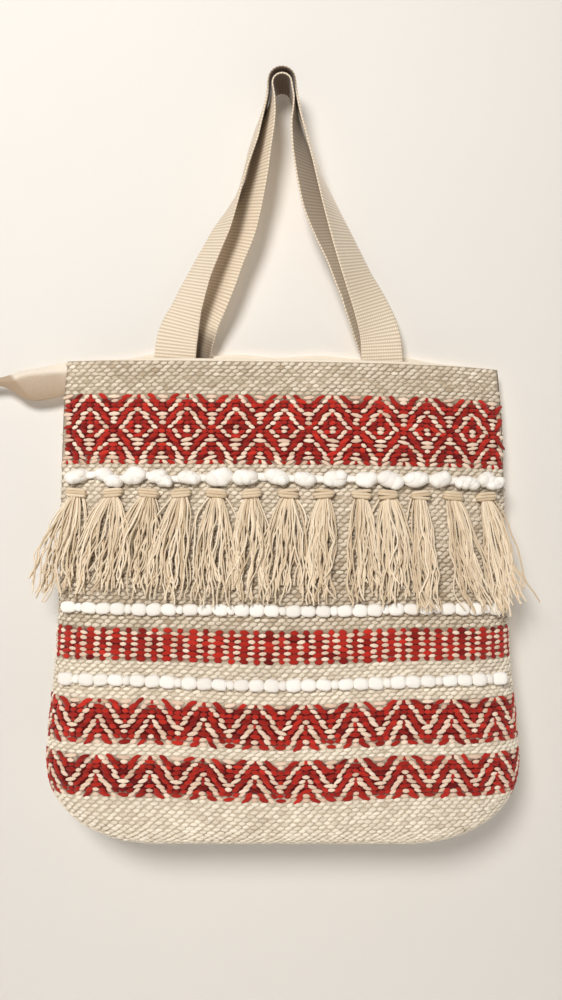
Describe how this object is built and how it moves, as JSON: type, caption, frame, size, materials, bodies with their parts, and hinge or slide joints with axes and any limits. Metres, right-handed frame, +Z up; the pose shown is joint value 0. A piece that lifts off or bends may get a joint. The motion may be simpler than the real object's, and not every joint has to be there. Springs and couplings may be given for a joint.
{
  "type": "handloom cotton tote bag",
  "caption": "Soft handloom cotton tote bag, hung by two webbing handles, with woven diamond and chevron bands, yarn bobbles, cotton tassels and a zip tape at its mouth.",
  "frame": {"origin": "the hang point: underside of the two straps at the top of their loop, where a hook, a hand or a shoulder carries the bag", "axes": "+Z up, +X to the right seen from the bag's front, +Y from the bag's front to its back"},
  "size_m": [0.4895, 0.0751, 0.6877],
  "materials": {
    "handloom_cloth": "coarse handloom weave",
    "cotton_tape": "fine plain weave",
    "cotton_webbing": "ribbed webbing",
    "white_yarn": "soft thick yarn",
    "tassel_yarn": "loose cotton yarn"
  },
  "bodies": {
    "root": {"front_panel": "handloom_cloth", "back_panel": "handloom_cloth", "zip_tape_front": "cotton_tape", "zip_tape_back": "cotton_tape", "zip_tail": "cotton_tape", "front_strap": "cotton_webbing", "back_strap": "cotton_webbing", "bobble_row_top": "white_yarn", "bobble_row_middle": "white_yarn", "bobble_row_low": "white_yarn", "tassel_01": "tassel_yarn", "tassel_02": "tassel_yarn", "tassel_03": "tassel_yarn", "tassel_04": "tassel_yarn", "tassel_05": "tassel_yarn", "tassel_06": "tassel_yarn", "tassel_07": "tassel_yarn", "tassel_08": "tassel_yarn", "tassel_09": "tassel_yarn", "tassel_10": "tassel_yarn", "tassel_11": "tassel_yarn", "tassel_12": "tassel_yarn", "tassel_13": "tassel_yarn"}
  },
  "joints": []
}
